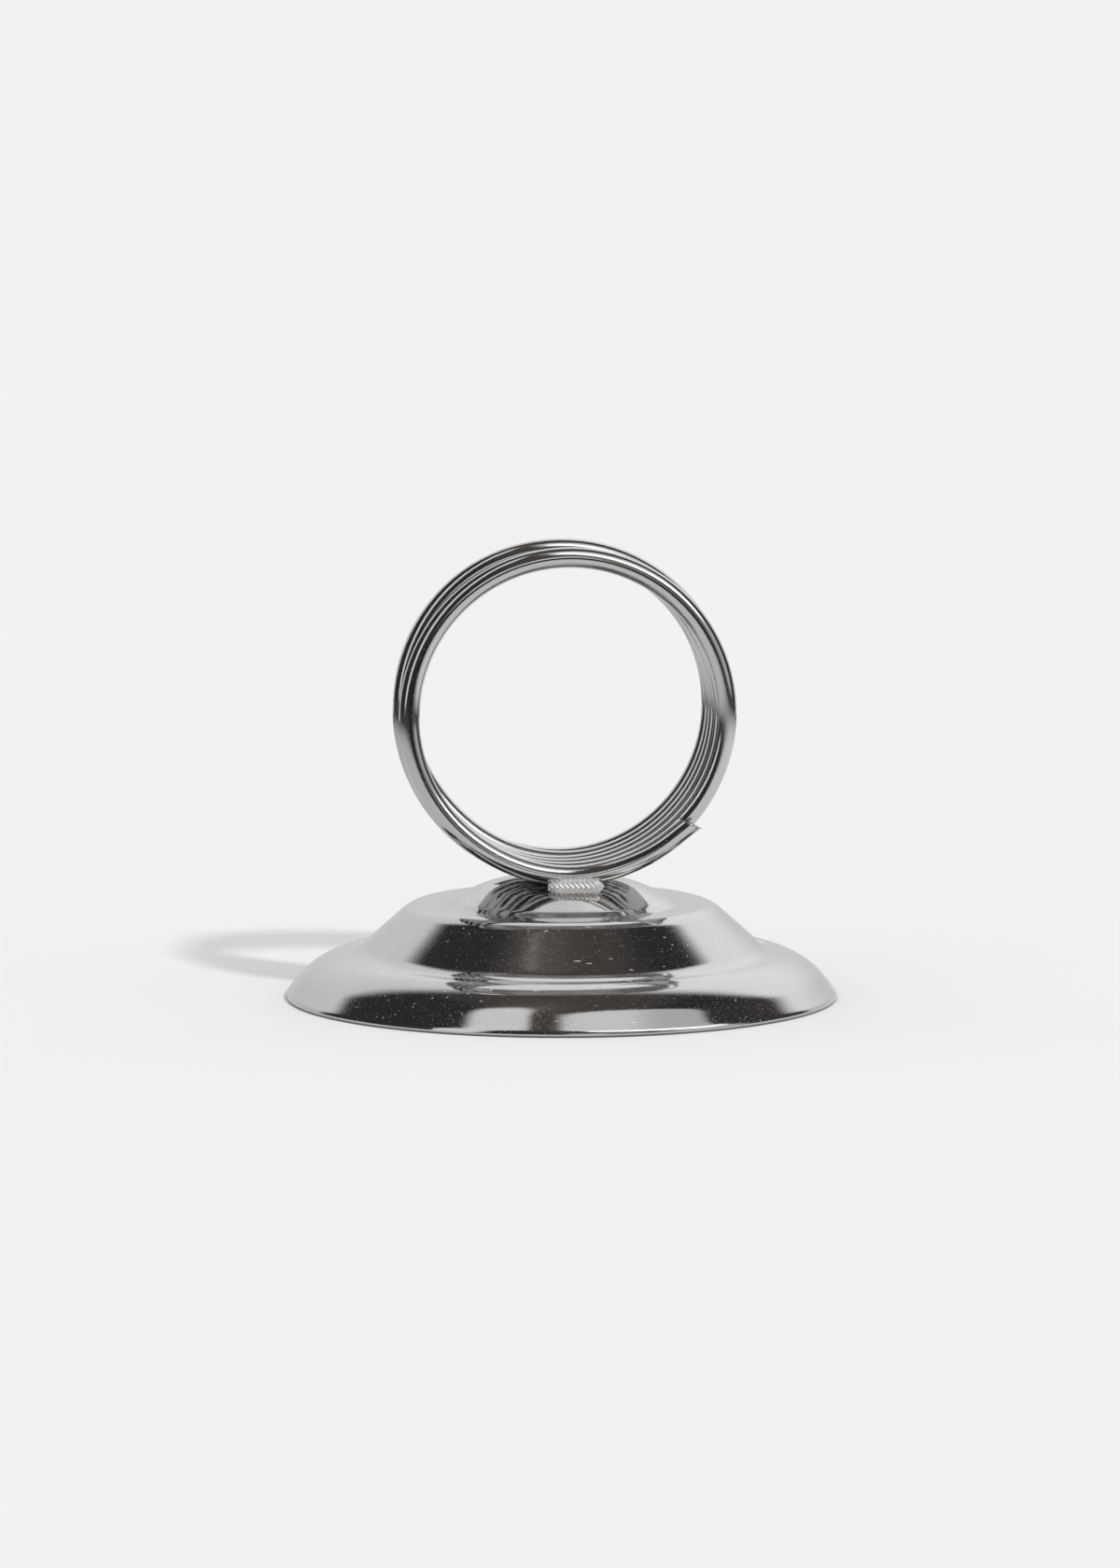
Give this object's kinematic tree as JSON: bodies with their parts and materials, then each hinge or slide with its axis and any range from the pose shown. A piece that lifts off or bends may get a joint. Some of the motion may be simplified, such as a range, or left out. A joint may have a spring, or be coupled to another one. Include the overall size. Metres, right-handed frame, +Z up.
{
  "type": "menu holder",
  "caption": "Table menu holder: a close-wound ring of spring wire grips a card between its turns and stands on a pressed, stepped round foot.",
  "frame": {"origin": "centre of the rim's resting plane, under the middle of the foot", "axes": "+Z up, -Y towards the side with the wire's front end, coil axis along Y, +X to the right as seen from -Y"},
  "size_m": [0.064, 0.064, 0.0531],
  "materials": {
    "foot_plate": "bright plated sheet, polished, with fine handling scratches",
    "coil_wire": "bright plated spring wire, polished",
    "weld_metal": "weld ripples under bright plating"
  },
  "bodies": {
    "root": {"foot": "foot_plate", "wire_coil": "coil_wire", "front_weld": "weld_metal", "rear_weld": "weld_metal"}
  },
  "joints": []
}
